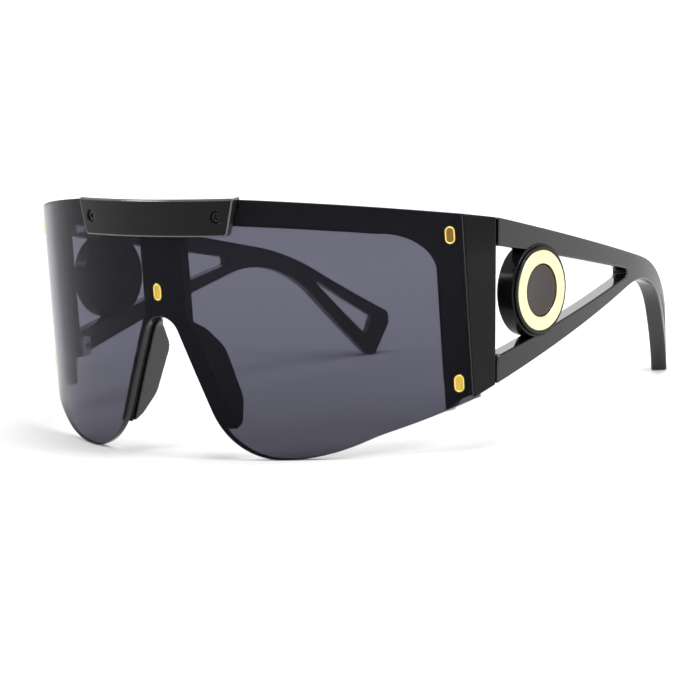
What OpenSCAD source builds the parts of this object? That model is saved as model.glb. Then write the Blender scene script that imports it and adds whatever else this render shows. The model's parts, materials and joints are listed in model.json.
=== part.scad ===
// Shield sunglasses: one wide curved lens on a moulded frame, with two folding temples.
// X runs across the face, Y from the front to the back, and Z is up.
// The origin is on the ground under the middle of the part, which stands on the lens's two
// lower lobes and the two temple tips. Most places are first worked out from the front of the
// lens, at Y = 0, and every piece is then moved by the same distance, mid_y.

/* [Lens] */
// Radius of the lens's outer face, seen from above
lens_r = 90.5; // [88:0.5:94]
// Thickness of the lens
lens_t = 2; // [1.6:0.1:2.4]
// Width of the lens between its two end lines
lens_w = 140.6; // [139:0.2:142]
// Height of the top edge at the middle
lens_h = 65.2; // [63:0.2:68]
// Fall of the top edge toward the back, in degrees
top_fall = 12.4; // [11:0.2:13.6]
// Distance of each lobe's lowest point from the middle
lobe_x = 32; // [30:0.5:34]
// Radius of the outer side of each lobe
lobe_r = 42; // [40:0.5:44]
// Radius of the nose side of each lobe
lobe_nose_r = 19.7; // [18:0.1:21]
// Height of the lower edge at the end of the lens
end_z = 12.6; // [11:0.2:14]
// Rise of the lower edge toward the back, in degrees
edge_rise = 23.7; // [22:0.1:25]
// Height of the nose cut-out's top
nose_top = 35.3; // [34:0.1:37]
// Radius of the nose cut-out's arch
nose_r = 5.8; // [5.2:0.1:6.4]

/* [Frame] */
// Height of the bar along the top edge
bar_h = 6.5; // [5.6:0.1:7.2]
// Depth of the bar and the bridge behind the lens
bar_t = 3; // [2.4:0.1:4]
// Half of the width between the side bars
window_x = 64.2; // [63:0.2:65.4]
// Radius of the window's upper outer corner
window_r = 10.4; // [8:0.1:12]
// Half of the bridge panel's width
bridge_x = 6.7; // [6:0.1:7.4]
// Half of the width between the side bars' rear corners
side_rear_x = 61; // [60:0.2:62]
// Distance of the side bars' rear faces in front of the joint
side_rear_in = 2.2; // [1.4:0.2:3.4]
// Distance of the side bars' hollows in front of the joint
side_hollow_in = 5.8; // [5:0.2:6.4]
// Height of the foot where the side bars' deep part ends
side_foot_z = 17; // [15:0.5:20]
// Turn of the end pieces' outer faces away from straight back, in degrees
end_flare = 24.2; // [22:0.2:26]
// Distance of the joint behind the ends of the lens
joint_in = 4.9; // [4.1:0.1:5.9]
// Backward lean of the joint, in degrees
joint_lean = 4.1; // [3:0.1:5]
// Thickness of the nose wings
wing_t = 3.3; // [2.6:0.1:3.8]
// Reach of the nose wings behind the front of the lens
wing_reach = 11.4; // [10:0.1:13]
// Thickness of the nose pads
pad_t = 0.8; // [0.6:0.1:1.2]

/* [Brow bar] */
// Width of the brow bar's upper edge
brow_w = 50.8; // [46:0.2:54]
// Width of the brow bar's lower edge
brow_low_w = 46.2; // [43:0.2:50]
// Height of the brow bar
brow_h = 9.3; // [8.6:0.1:10]
// Bevel along the brow bar's upper front edge
brow_bevel = 0.6; // [0.4:0.1:1]
// Distance of the brow bar's top below the lens's highest point
brow_drop = 0.3; // [0.1:0.1:0.5]
// How far the brow bar stands out from the lens
brow_out = 2.4; // [2:0.1:3]
// Height of the lip that wraps over the lens
lip_h = 2.5; // [2:0.1:3]
// Distance between the two brow screws, measured along the lens
screw_span = 41; // [38:0.2:43]
// Radius of the recess round a brow screw
screw_recess_r = 1.45; // [1.3:0.05:1.7]

/* [Rivets] */
// Width of a lens rivet
rivet_w = 2.5; // [2:0.1:3]
// Height of a lens rivet
rivet_h = 4.3; // [3.8:0.1:5]
// How far a rivet stands out from the lens
rivet_out = 0.35; // [0.2:0.05:0.6]
// Depth of a rivet in the frame behind the lens
rivet_in = 1.4; // [1.2:0.1:1.6]
// Distance of the outer rivets from the ends of the lens, measured along it
rivet_end_in = 3.5; // [2.7:0.1:4.5]
// Height of the upper outer rivets
rivet_high_z = 52.9; // [51:0.1:54]
// Height of the lower outer rivets
rivet_low_z = 16.7; // [16:0.1:18]
// Height of the middle rivet
rivet_mid_z = 41.6; // [40:0.1:44]

/* [Temples] */
// Thickness of the temples
temple_t = 4.3; // [3.8:0.1:4.8]
// Outward turn of the temples where they leave the joint, in degrees
temple_splay = 3.6; // [2:0.1:4.4]
// Distance from the joint to the temple's rearmost point
temple_reach = 114.5; // [112:0.1:117]
// Radius of the temples' long gentle curve, seen from above
sweep_r = 300; // [270:5:360]
// Length of that curve, from the joint to the tighter bend
sweep_l = 68; // [62:0.5:74]
// Radius of the tighter bend behind the ears
bend_r = 108; // [100:1:116]
// Fall of the temple's upper edge, in degrees
upper_fall = 15.1; // [14.4:0.1:15.6]
// Rise of the temple's lower edge, in degrees
lower_rise = 12.9; // [12.4:0.1:13.4]
// Distance from the joint to the corner where the hook starts, on the upper edge
hook_y = 86.7; // [85:0.1:88]
// Radius of the hook's outer bend
hook_r = 55; // [45:1:60]
// Distance from the joint to the corner of the underside
crest_y = 83; // [81:0.1:84.4]
// Radius of the underside's bend
crest_r = 27; // [22:0.5:28]
// Height of the tip's rearmost point
tip_z = 10.8; // [9:0.1:12]
// Length of the flat that the tip stands on
tip_flat = 2.4; // [2:0.1:3]
// Distance of that flat in front of the tip's rearmost point
tip_in = 4.4; // [4:0.1:5]

/* [Temple openings] */
// Height of the upper arm at the joint
upper_arm_h = 6.9; // [6.4:0.1:7.4]
// Height of the lower arm at the joint
lower_arm_h = 6.8; // [6.4:0.1:7.4]
// Distance from the joint to the window's pointed end
apex_y = 69.7; // [67:0.1:71]
// Height of the window's pointed end
apex_z = 33.6; // [33:0.1:34.4]
// Radius of the window's pointed end
apex_r = 1.15; // [0.8:0.05:1.4]
// Distance of the tip slot's narrow end in front of the rearmost point
slot_top_in = 21.1; // [20.4:0.1:21.4]
// Height of the tip slot's narrow end
slot_top_z = 25.3; // [24.8:0.1:25.8]
// Distance of the tip slot's rear corner in front of the rearmost point
slot_back_in = 4.6; // [4.4:0.1:5]
// Height of the tip slot's rear corner
slot_back_z = 11.3; // [11:0.1:12]
// Distance of the tip slot's lower corner in front of the rearmost point
slot_foot_in = 6.4; // [6.2:0.1:7]
// Height of the tip slot's lower corner
slot_foot_z = 6.1; // [6:0.1:7]
// Radius of the tip slot's two rear corners
slot_r = 0.7; // [0.5:0.1:0.8]
// Radius of the tip slot's narrow end
slot_end_r = 0.25; // [0.15:0.05:0.4]

/* [Medallion] */
// Radius of the drum that carries the medallion
drum_r = 11.6; // [11.4:0.1:12]
// Distance from the joint to the drum's centre, along the temple
drum_y = 19.3; // [18.8:0.1:19.8]
// Height of the drum's centre
drum_z = 35.9; // [35:0.1:37]
// How far the drum stands out from the temple on both faces
drum_out = 0.3; // [0.2:0.05:0.5]
// Radius of the medallion's dark rim
bezel_r = 10.9; // [10.7:0.1:11]
// How far the dark rim stands out from the drum
bezel_out = 0.6; // [0.4:0.1:1]
// Depth of the medallion's seat in the drum
seat_depth = 0.9; // [0.8:0.1:1.4]
// Thickness of the dark rim's floor
bezel_floor = 0.5; // [0.4:0.1:0.6]
// Radius of the ring
ring_r = 10; // [9.8:0.1:10.2]
// Width of the ring
ring_w = 3.4; // [2.8:0.1:3.8]
// How far the ring stands out from the dark rim
ring_out = 0.25; // [0.1:0.05:0.5]
// How far the cap stays below the ring
cap_in = 0.35; // [0.1:0.05:0.5]

/* [Hinges] */
// Radius of the hinge knuckles
knuckle_r = 1.3; // [1.2:0.05:1.4]
// Height of one knuckle
knuckle_h = 1.7; // [1.5:0.05:1.8]
// Radius of the hinge screws' shanks
pin_r = 0.6; // [0.5:0.05:0.7]
// Radius of the hinge screws' heads
pin_head_r = 1.1; // [0.9:0.05:1.2]
// Height of the hinge screws' heads
pin_head_h = 0.5; // [0.4:0.05:0.7]
// Length of a hinge leaf from the hinge's axis
leaf_l = 5; // [4.9:0.1:5.1]
// Thickness of a hinge leaf
leaf_t = 0.8; // [0.7:0.05:0.9]
// Radius of a leaf screw's shank
leaf_screw_r = 0.45; // [0.4:0.05:0.5]
// Radius of a leaf screw's head
leaf_head_r = 0.8; // [0.7:0.05:0.9]
// Height of a leaf screw's head
leaf_head_h = 0.35; // [0.3:0.05:0.4]
// Depth of a leaf screw in the plastic
leaf_screw_in = 1.2; // [1:0.1:1.3]

/* [Hidden] */
$fn = 96;

// Steps in an outline's arcs, in degrees
arc_step = 5;
// Overrun of every cut past the faces it goes through
over = 1;
// Overlap of the end pieces with the wall behind the lens, in degrees
end_overlap = 1.5;
// Gap between the end pieces and the open temples
joint_gap = 0.25;
// Gap round a knuckle's sweep
knuckle_gap = 0.3;
// Gap between two knuckles, along the axis
stack_gap = 0.08;
// Depth of the flats that the temples' leaves lie on
leaf_sink = 0.15;
// Gap round a hinge screw's shank
pin_gap = 0.05;
// Gap between fixed pieces that drop into a seat
seat_gap = 0.05;
// Corner radii of the small outlines
brow_corner_r = 1;
tip_r = 2.4;
tip_flat_r = 1;
wing_corner_r = 3;
wing_heel_r = 5;
// Height of the tip's straight back
tip_back_h = 3.2;
// Distance of the brow screws below the brow bar's bevel
screw_down = 3.9;
// Floor under a brow screw's head, and the head's own size
screw_floor = 1.1;
screw_head_h = 0.9;
screw_shank_r = 0.6;
screw_gap = 0.1;
// How far the brow screws reach into the frame's bar
screw_in = 2.2;
// Places of the wings' side outline: depth shares of the reach, and heights
wing_top_z = 36.4;
wing_brow_z = 31.6;
wing_full_z = 26.4;
wing_heel_z = 14;
wing_toe_z = 8.4;
wing_end_z = 6;
wing_brow_share = 0.66;
wing_heel_share = 0.94;
wing_toe_share = 0.62;
// Inset of a pad from its wing's outline
pad_inset = 0.8;
// Places of the two leaf screws along a leaf, as shares of its length
leaf_screw_shares = [0.48, 0.83];

// Places that follow from the sizes above
span = lens_w;
end_a = asin(lens_w / 2 / lens_r);
end_x = lens_w / 2;
end_y = lens_r - lens_r * cos(end_a);
inner_r = lens_r - lens_t;
joint_y = end_y + joint_in;
side_rear_y = joint_y - side_rear_in;
side_hollow_y = joint_y - side_hollow_in;
joint_x = end_x + tan(end_flare) * (joint_y - end_y);
face_lean = atan(tan(end_flare) * tan(joint_lean));
hinge_tilt = atan(tan(joint_lean) * cos(face_lean));
hinge_in = (temple_t - leaf_sink) / cos(temple_splay) + knuckle_r + knuckle_gap;
rear_y = joint_y + temple_reach;
mid_y = (rear_y - brow_out) / 2;
low_z = edge_z(joint_y) / (1 - tan(edge_rise) * tan(joint_lean));
high_z = top_z(joint_y) / (1 + tan(top_fall) * tan(joint_lean));
upper_hinge_z = high_z - upper_arm_h / 2;
lower_hinge_z = low_z + lower_arm_h / 2;
rivet_a = end_a - rivet_end_in / lens_r * 180 / PI;
screw_a = screw_span / 2 / lens_r * 180 / PI;
sweep_a = sweep_l / sweep_r * 180 / PI;
drum_a = drum_y / sweep_r * 180 / PI;
brow_top = lens_h - brow_drop;

function top_z(y) = lens_h - tan(top_fall) * y;
function edge_z(y) = end_z + tan(edge_rise) * (y - end_y);
function joint_at(z) = joint_y + tan(joint_lean) * z;
function depth_at(r, x) = lens_r - sqrt(r * r - x * x);
function unit(v) = v / norm(v);
function arc(centre, r, a, b) =
    let (n = max(1, ceil(abs(b - a) / arc_step)))
    [for (i = [0:n]) centre + r * [cos(a + (b - a) * i / n), sin(a + (b - a) * i / n)]];

// Points of the arc that rounds corner b of the path a, b, c
function bend(a, b, c, r) =
    let (
        u = unit(a - b),
        v = unit(c - b),
        half = acos(u * v) / 2,
        centre = b + unit(u + v) * r / sin(half),
        p = b + u * r / tan(half) - centre,
        q = b + v * r / tan(half) - centre,
        from = atan2(p.y, p.x),
        turn = atan2(p.x * q.y - p.y * q.x, p * q)
    )
    arc(centre, r, from, from + turn);

// A closed outline with each corner rounded by its own radius
function rounded(points, radii) = [
    for (i = [0:len(points) - 1])
        let (n = len(points), a = points[(i + n - 1) % n], b = points[i], c = points[(i + 1) % n])
        each (radii[i] == 0 ? [b] : bend(a, b, c, radii[i]))
];

function mirrored(points) = [for (i = [len(points) - 1:-1:0]) [-points[i].x, points[i].y]];

// The nose cut-out's arch and its straight flanks, which meet both lobes as tangents
nose_centre = [0, nose_top - nose_r];
lobe_centre = [lobe_x, lobe_nose_r];
nose_gap_v = lobe_centre - nose_centre;
flank_a = 90 + atan2(nose_gap_v.y, nose_gap_v.x) - asin((nose_r + lobe_nose_r) / norm(nose_gap_v));

// Height of the lens's lower edge beyond a lobe's lowest point: the lobe, then the rising line,
// with the two blended where they cross
blend = 0.4;
function lobe_edge(x) = lobe_r - sqrt(max(0, lobe_r * lobe_r - (x - lobe_x) * (x - lobe_x)));
function rear_edge(x) = edge_z(depth_at(lens_r, x));
function lower_edge(x) =
    let (a = lobe_edge(x), b = rear_edge(x))
    (a + b - sqrt((a - b) * (a - b) + blend * blend)) / 2;

// Half of the lens's lower edge, from the middle to the end of the lens
edge_steps = 20;
lobe_share = 0.28;
edge_start_x = lobe_x + (end_x - lobe_x) * lobe_share;
half_edge = concat(
    arc(nose_centre, nose_r, 90, flank_a),
    arc(lobe_centre, lobe_nose_r, 180 + flank_a, 270),
    arc([lobe_x, lobe_r], lobe_r, 270, 270 + asin((edge_start_x - lobe_x) / lobe_r)),
    [
        for (i = [1:edge_steps])
            let (x = edge_start_x + (end_x + over - edge_start_x) * i / edge_steps)
            [x, lower_edge(x)]
    ]
);

// Extrudes an outline drawn in X and Z along Y, between two depths
module along_y(from, to) {
    translate([0, to, 0]) rotate([90, 0, 0]) linear_extrude(to - from) children();
}

// Extrudes an outline drawn in Y and Z along X, across the whole part
module along_x() {
    translate([-span, 0, 0]) rotate([90, 0, 90]) linear_extrude(2 * span) children();
}

// Turns what sits at the front of the lens round the lens's own axis
module around(a) {
    translate([0, lens_r, 0]) rotate([0, 0, a]) translate([0, -lens_r, 0]) children();
}

// A standing cylinder on the lens's own axis
module lens_cylinder(r, from = -over, to = lens_h + over) {
    translate([0, lens_r, from]) cylinder(r = r, h = to - from, $fn = 240);
}

module shell(outer, inner) {
    difference() {
        lens_cylinder(outer);
        lens_cylinder(inner, -2 * over, lens_h + 2 * over);
    }
}

// Everything between the lens's two end lines
module lens_wedge() {
    reach = 2 * lens_r;
    translate([0, lens_r, -2 * over])
        linear_extrude(lens_h + 4 * over)
            polygon([[0, 0], reach * [-sin(end_a), -cos(end_a)], [0, -reach], reach * [sin(end_a), -cos(end_a)]]);
}

module both_sides() {
    children();
    mirror([1, 0, 0]) children();
}

module on_side(side) {
    if (side < 0) mirror([1, 0, 0]) children();
    else children();
}

module placed() {
    translate([0, -mid_y, 0]) children();
}

// The lens's outline from the front, open upward
module lens_outline() {
    top = lens_h + over;
    polygon(concat([[-end_x - over, top]], mirrored(half_edge), half_edge, [[end_x + over, top]]));
}

// Everything below the top edge, which falls toward the back, seen from the side
module below_top_edge() {
    polygon([[-over, -over], [lens_r, -over], [lens_r, top_z(lens_r)], [-over, top_z(-over)]]);
}

// What the rising lower edge and the joint leave of the end pieces, seen from the side
module end_profile() {
    polygon([
        [0, edge_z(0)],
        [joint_at(low_z), edge_z(joint_at(low_z))],
        [joint_at(lens_h + over), lens_h + over],
        [0, lens_h + over]
    ]);
}

// The nose cut-out, grown or shrunk by an inset from its edge
module nose_cut(inset) {
    r = nose_r - inset;
    reach = nose_top / cos(flank_a);
    down = [sin(flank_a), -cos(flank_a)];
    right = nose_centre + r * [cos(flank_a), sin(flank_a)];
    left = [-right.x, right.y];
    polygon(concat(
        arc(nose_centre, r, flank_a, 180 - flank_a),
        [left + reach * [-down.x, down.y], right + reach * down]
    ));
}

module stadium(w, h) {
    square([w, h - w], center = true);
    for (side = [-1, 1]) translate([0, side * (h - w) / 2]) circle(d = w);
}

// One child at the place of each lens rivet
module at_rivets() {
    translate([0, 0, rivet_mid_z]) children();
    for (side = [-1, 1]) {
        around(side * rivet_a) translate([0, 0, rivet_high_z]) children();
        around(side * rivet_a) translate([0, 0, rivet_low_z]) children();
    }
}

module rivet_body(grow, from, to) {
    along_y(from, to) stadium(rivet_w + 2 * grow, rivet_h + 2 * grow);
}

// One child at the place of each brow screw, on the outer face of the lens
module at_brow_screws() {
    for (side = [-1, 1])
        around(side * screw_a) translate([0, 0, brow_top - brow_bevel - screw_down]) rotate([-90, 0, 0]) children();
}

module brow_screw_holes() {
    at_brow_screws() translate([0, 0, -brow_out - over])
        cylinder(r = screw_shank_r + seat_gap, h = brow_out + over + lens_t + screw_in);
}

// The notch in the lens for the lip that wraps over it, as wide as the brow bar
module lip_notch() {
    along_y(-brow_out - over, side_rear_y)
        translate([-brow_w / 2 - seat_gap, brow_top - lip_h - seat_gap])
            square([brow_w + 2 * seat_gap, 2 * lip_h]);
}

module lens() {
    color([0.25, 0.24, 0.3, 0.6]) placed() difference() {
        intersection() {
            shell(lens_r, inner_r);
            along_y(-over, lens_r) lens_outline();
            along_x() below_top_edge();
            lens_wedge();
        }
        lip_notch();
        at_rivets() rivet_body(seat_gap, -over, lens_t + over);
        brow_screw_holes();
    }
}

// The opening behind one half of the lens, between the bridge, the top bar and a side bar
module window_outline() {
    corner_x = window_x - window_r;
    slope = atan(tan(top_fall) * corner_x / sqrt(inner_r * inner_r - corner_x * corner_x));
    bar_edge = [for (i = [0:8]) let (x = bridge_x + (corner_x - bridge_x) * i / 8)
        [x, top_z(depth_at(inner_r, x)) - bar_h]];
    corner_z = bar_edge[len(bar_edge) - 1].y - window_r;
    polygon(concat(
        [[bridge_x, -over]],
        bar_edge,
        arc([corner_x, corner_z], window_r, 90 - slope, 0),
        [[window_x, -over]]
    ));
}

// The end pieces' direction, the hinge axis, and a point on the end pieces' inner faces
flare = [sin(end_flare), cos(end_flare)];
axis = [joint_x - hinge_in, joint_y];
inner = axis + (knuckle_r + knuckle_gap) * [flare.y, -flare.x];

function inner_at(y) = inner + flare * (y - inner.y) / flare.y;
function on_lens(r, a) = [0, lens_r] + r * [sin(a), -cos(a)];

// One end piece, seen from above: it overlaps the wall behind the lens by a small angle
module end_plan() {
    back = joint_at(high_z) + over;
    polygon([
        inner_at(end_y),
        on_lens(lens_r + over, end_a - end_overlap),
        on_lens(lens_r + over, end_a),
        [end_x, end_y],
        [end_x, end_y] + flare * (back - end_y) / flare.y,
        inner_at(back)
    ]);
}

// The deep part of one side bar, seen from above
module deep_plan() {
    lens_side = [window_x, depth_at(inner_r, window_x)];
    rear = [side_rear_x, side_rear_y];
    polygon([
        rear,
        lens_side + over * unit(lens_side - rear),
        on_lens(lens_r + over, end_a - 2 * end_overlap),
        inner_at(side_hollow_y)
    ]);
}

module side_bar() {
    difference() {
        union() {
            linear_extrude(lens_h + over) end_plan();
            translate([0, 0, side_foot_z]) linear_extrude(lens_h + over - side_foot_z) deep_plan();
        }
        intersection() {
            shell(lens_r + 2 * over, inner_r);
            lens_wedge();
        }
    }
}

// The wings' outline from the side, and the same drawn in for the pads
module wing_profile(inset, front) {
    deep = wing_reach - inset;
    polygon(rounded([
        [front, wing_end_z + inset],
        [wing_toe_share * deep, wing_toe_z + inset],
        [wing_heel_share * deep, wing_heel_z],
        [deep, wing_full_z],
        [wing_brow_share * deep, wing_brow_z - inset],
        [front, wing_top_z - inset]
    ], [0, wing_corner_r, wing_heel_r, wing_heel_r, wing_corner_r, 0]));
}

module nose_wings() {
    difference() {
        intersection() {
            along_y(0, wing_reach + over) difference() {
                nose_cut(-wing_t);
                nose_cut(0);
            }
            along_x() wing_profile(0, 0);
        }
        shell(lens_r + wing_reach, inner_r);
    }
}

// The wall behind the lens, open at the top like the side bars
module wall() {
    difference() {
        intersection() {
            shell(inner_r, inner_r - bar_t);
            lens_wedge();
            along_y(0, lens_r) lens_outline();
        }
        both_sides() along_y(0, lens_r) window_outline();
        along_y(0, wing_reach) intersection() {
            lens_outline();
            translate([-bridge_x - over, -over])
                square([2 * (bridge_x + over), nose_top - nose_r + over]);
        }
    }
}

module front_frame() {
    color([0.1, 0.1, 0.1]) placed() difference() {
        intersection() {
            along_x() below_top_edge();
            union() {
                wall();
                intersection() {
                    both_sides() side_bar();
                    along_x() end_profile();
                }
                nose_wings();
            }
        }
        at_rivets() rivet_body(seat_gap, lens_t - over, lens_t + rivet_in + seat_gap);
        brow_screw_holes();
        both_sides() {
            for (z = [upper_hinge_z, lower_hinge_z]) on_axis(z) toward_front() leaf_seat();
            at_front_leaf_screws() leaf_screw_hole();
        }
    }
}

module brow_outline() {
    low = brow_top - brow_h;
    top = brow_top + over;
    side = (brow_w - brow_low_w) / 2 / brow_h;
    wide = brow_low_w / 2 + side * (top - low);
    polygon(rounded(
        [[-brow_low_w / 2, low], [brow_low_w / 2, low], [wide, top], [-wide, top]],
        [brow_corner_r, brow_corner_r, 0, 0]
    ));
}

// The bar's section round the lens's axis, with its bevel and the lip over the lens
module brow_section() {
    out = lens_r + brow_out;
    polygon([
        [lens_r, 0],
        [out, 0],
        [out, brow_top - brow_bevel],
        [out - brow_bevel, brow_top],
        [inner_r, brow_top],
        [inner_r, brow_top - lip_h],
        [lens_r, brow_top - lip_h]
    ]);
}

module brow_bar() {
    color([0.17, 0.17, 0.17]) placed() difference() {
        intersection() {
            translate([0, lens_r, 0]) rotate_extrude($fn = 240) brow_section();
            along_y(-brow_out - over, side_rear_y) brow_outline();
        }
        brow_screw_holes();
        at_brow_screws() translate([0, 0, -brow_out - over])
            cylinder(r = screw_recess_r, h = over + brow_out - screw_floor);
    }
}

module brow_screws() {
    color([0.13, 0.13, 0.13]) placed() at_brow_screws() {
        translate([0, 0, -screw_floor - screw_head_h])
            cylinder(r = screw_recess_r - screw_gap, h = screw_head_h);
        translate([0, 0, -screw_floor])
            cylinder(r = screw_shank_r, h = screw_floor + lens_t + screw_in - screw_gap);
    }
}

module lens_rivets() {
    color([0.94, 0.82, 0.35]) placed() at_rivets()
        rivet_body(0, -rivet_out, lens_t + rivet_in);
}

// A pad on the nose side of one wing
module nose_pad(side) {
    color([0.14, 0.14, 0.14]) placed() on_side(side) difference() {
        intersection() {
            along_y(0, wing_reach) difference() {
                nose_cut(0);
                nose_cut(pad_t);
            }
            along_x() wing_profile(pad_inset, lens_t + pad_inset);
            translate([nose_r / 2, 0, 0]) cube([lobe_x, wing_reach, lens_h]);
        }
        shell(lens_r, inner_r - pad_inset);
    }
}

module nose_pad_left() { nose_pad(1); }
module nose_pad_right() { nose_pad(-1); }

// Puts a child in the temple's own frame: its outer face starts at x = 0, and runs along y
module in_temple() {
    translate([joint_x, joint_y, 0]) rotate([0, face_lean, 0]) rotate([0, 0, -temple_splay]) children();
}

// A quarter of a standing ring as thick as the temple, whose outer face passes through the origin:
// a side of -1 takes the quarter in front of it, and 1 the quarter behind it
module curved_wall(r, side) {
    tall = 3 * lens_h;
    reach = r + over;
    translate([-r, 0, -tall / 2]) intersection() {
        difference() {
            cylinder(r = r, h = tall, $fn = 360);
            translate([0, 0, -over]) cylinder(r = r - temple_t, h = tall + 2 * over, $fn = 360);
        }
        translate([0, side < 0 ? -reach : 0, 0]) cube([reach, reach, tall]);
    }
}

// Puts a child on the temple's outer face, turned along its long gentle curve by an angle
module along_temple(a) {
    in_temple() translate([-sweep_r, 0, 0]) rotate([0, 0, a]) translate([sweep_r, 0, 0]) children();
}

// The curved wall that the temple is cut from: a long gentle curve, then a tighter bend
module temple_band() {
    along_temple(sweep_a) {
        curved_wall(sweep_r, -1);
        curved_wall(bend_r, 1);
    }
}

function upper_line(y) = high_z - tan(upper_fall) * (y - joint_at(high_z));
function lower_line(y) = low_z + tan(lower_rise) * (y - joint_at(low_z));

module temple_outline() {
    tip_y = rear_y - tip_in;
    polygon(rounded([
        [joint_at(low_z) + joint_gap, lower_line(joint_at(low_z) + joint_gap)],
        [joint_at(high_z) + joint_gap, upper_line(joint_at(high_z) + joint_gap)],
        [joint_y + hook_y, upper_line(joint_y + hook_y)],
        [rear_y, tip_z + tip_back_h / 2],
        [rear_y, tip_z - tip_back_h / 2],
        [tip_y, 0],
        [tip_y - tip_flat, 0],
        [joint_y + crest_y, lower_line(joint_y + crest_y)]
    ], [0, 0, hook_r, tip_r, tip_r, tip_flat_r, tip_flat_r, crest_r]));
}

module temple_window() {
    high = high_z - upper_arm_h;
    low = low_z + lower_arm_h;
    apex = [joint_y + apex_y, apex_z];
    front = joint_y - over;
    up = (apex.y - high) / (apex.x - joint_at(high));
    down = (apex.y - low) / (apex.x - joint_at(low));
    polygon(rounded([
        [front, apex.y - down * (apex.x - front)],
        apex,
        [front, apex.y - up * (apex.x - front)]
    ], [0, apex_r, 0]));
}

module tip_slot() {
    polygon(rounded([
        [rear_y - slot_top_in, slot_top_z],
        [rear_y - slot_back_in, slot_back_z],
        [rear_y - slot_foot_in, slot_foot_z]
    ], [slot_end_r, slot_r, slot_r]));
}

// Puts a child on the drum's outer face, with z pointing outward
module on_drum() {
    along_temple(drum_a) translate([drum_out, 0, drum_z]) rotate([0, 90, 0]) children();
}

module temple(side) {
    color([0.16, 0.16, 0.16]) placed() on_side(side) difference() {
        union() {
            intersection() {
                temple_band();
                along_x() difference() {
                    temple_outline();
                    temple_window();
                    tip_slot();
                }
            }
            on_drum() translate([0, 0, -temple_t - 2 * drum_out])
                cylinder(r = drum_r, h = temple_t + 2 * drum_out);
        }
        on_drum() translate([0, 0, -seat_depth]) cylinder(r = bezel_r + seat_gap, h = seat_depth + over);
        for (z = [upper_hinge_z, lower_hinge_z]) on_axis(z) toward_back() leaf_seat();
        at_temple_leaf_screws() leaf_screw_hole();
    }
}

module temple_left() { temple(1); }
module temple_right() { temple(-1); }

module medallion_bezel(side) {
    color([0.08, 0.08, 0.08]) placed() on_side(side) on_drum() difference() {
        translate([0, 0, -seat_depth]) cylinder(r = bezel_r, h = seat_depth + bezel_out);
        translate([0, 0, bezel_floor - seat_depth])
            cylinder(r = ring_r + seat_gap, h = seat_depth + bezel_out + over);
    }
}

module medallion_bezel_left() { medallion_bezel(1); }
module medallion_bezel_right() { medallion_bezel(-1); }

module medallion_ring(side) {
    h = seat_depth - bezel_floor + bezel_out + ring_out;
    color([0.98, 0.92, 0.6]) placed() on_side(side) on_drum() translate([0, 0, bezel_floor - seat_depth])
        difference() {
            cylinder(r = ring_r, h = h);
            translate([0, 0, -over]) cylinder(r = ring_r - ring_w, h = h + 2 * over);
        }
}

module medallion_ring_left() { medallion_ring(1); }
module medallion_ring_right() { medallion_ring(-1); }

module medallion_cap(side) {
    color([0.3, 0.28, 0.27]) placed() on_side(side) on_drum() translate([0, 0, bezel_floor - seat_depth])
        cylinder(r = ring_r - ring_w - seat_gap, h = seat_depth - bezel_floor + bezel_out + ring_out - cap_in);
}

module medallion_cap_left() { medallion_cap(1); }
module medallion_cap_right() { medallion_cap(-1); }

// Puts a child on a hinge's axis at a height, with z along the axis
module on_axis(z) {
    translate([joint_x - hinge_in, joint_y, 0]) rotate([-hinge_tilt, face_lean, 0])
        translate([0, 0, z / cos(hinge_tilt)]) children();
}

stack_h = 3 * knuckle_h + 2 * stack_gap;

module sweep(h, r) {
    translate([0, 0, -h / 2]) cylinder(r = r, h = h);
}

// Puts a child where the outer two knuckles are
module outer_knuckles() {
    for (side = [-1, 1]) translate([0, 0, side * (knuckle_h + stack_gap)]) children();
}

// A leaf lies on the plastic beside the axis, and runs back along y
module leaf() {
    translate([knuckle_r + knuckle_gap - leaf_t, knuckle_gap, -stack_h / 2])
        cube([leaf_t, leaf_l - knuckle_gap, stack_h]);
}

// The pocket that a leaf lies in, as wide as the knuckles' sweep
module leaf_seat() {
    r = knuckle_r + knuckle_gap;
    translate([-r, -over, -stack_h / 2 - seat_gap])
        cube([2 * r, leaf_l + over + seat_gap, stack_h + 2 * seat_gap]);
}

// The front leaf follows the end piece forward, the temple's leaf follows the temple back
module toward_front() {
    rotate([0, 0, -end_flare]) mirror([0, 1, 0]) children();
}

module toward_back() {
    rotate([0, 0, -temple_splay]) children();
}

module leaf_screw_places() {
    for (share = leaf_screw_shares)
        translate([knuckle_r + knuckle_gap, share * leaf_l, 0]) rotate([0, 90, 0]) children();
}

module leaf_screw_hole() {
    translate([0, 0, -leaf_t - over]) cylinder(r = leaf_screw_r + seat_gap, h = leaf_t + over + leaf_screw_in);
}

module at_front_leaf_screws() {
    for (z = [upper_hinge_z, lower_hinge_z]) on_axis(z) toward_front() leaf_screw_places() children();
}

module at_temple_leaf_screws() {
    for (z = [upper_hinge_z, lower_hinge_z]) on_axis(z) toward_back() leaf_screw_places() children();
}

module leaf_screw() {
    translate([0, 0, -leaf_t]) cylinder(r = leaf_screw_r, h = leaf_t + leaf_screw_in - seat_gap);
    translate([0, 0, -leaf_t - leaf_head_h]) cylinder(r = leaf_head_r, h = leaf_head_h);
}

module hinge_front(side, z) {
    color([0.6, 0.6, 0.62]) placed() on_side(side) on_axis(z) difference() {
        union() {
            outer_knuckles() sweep(knuckle_h, knuckle_r);
            toward_front() leaf();
        }
        sweep(knuckle_h + 2 * stack_gap, knuckle_r + knuckle_gap);
        sweep(stack_h + 2 * over, pin_r + pin_gap);
        toward_front() leaf_screw_places() leaf_screw_hole();
    }
}

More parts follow.
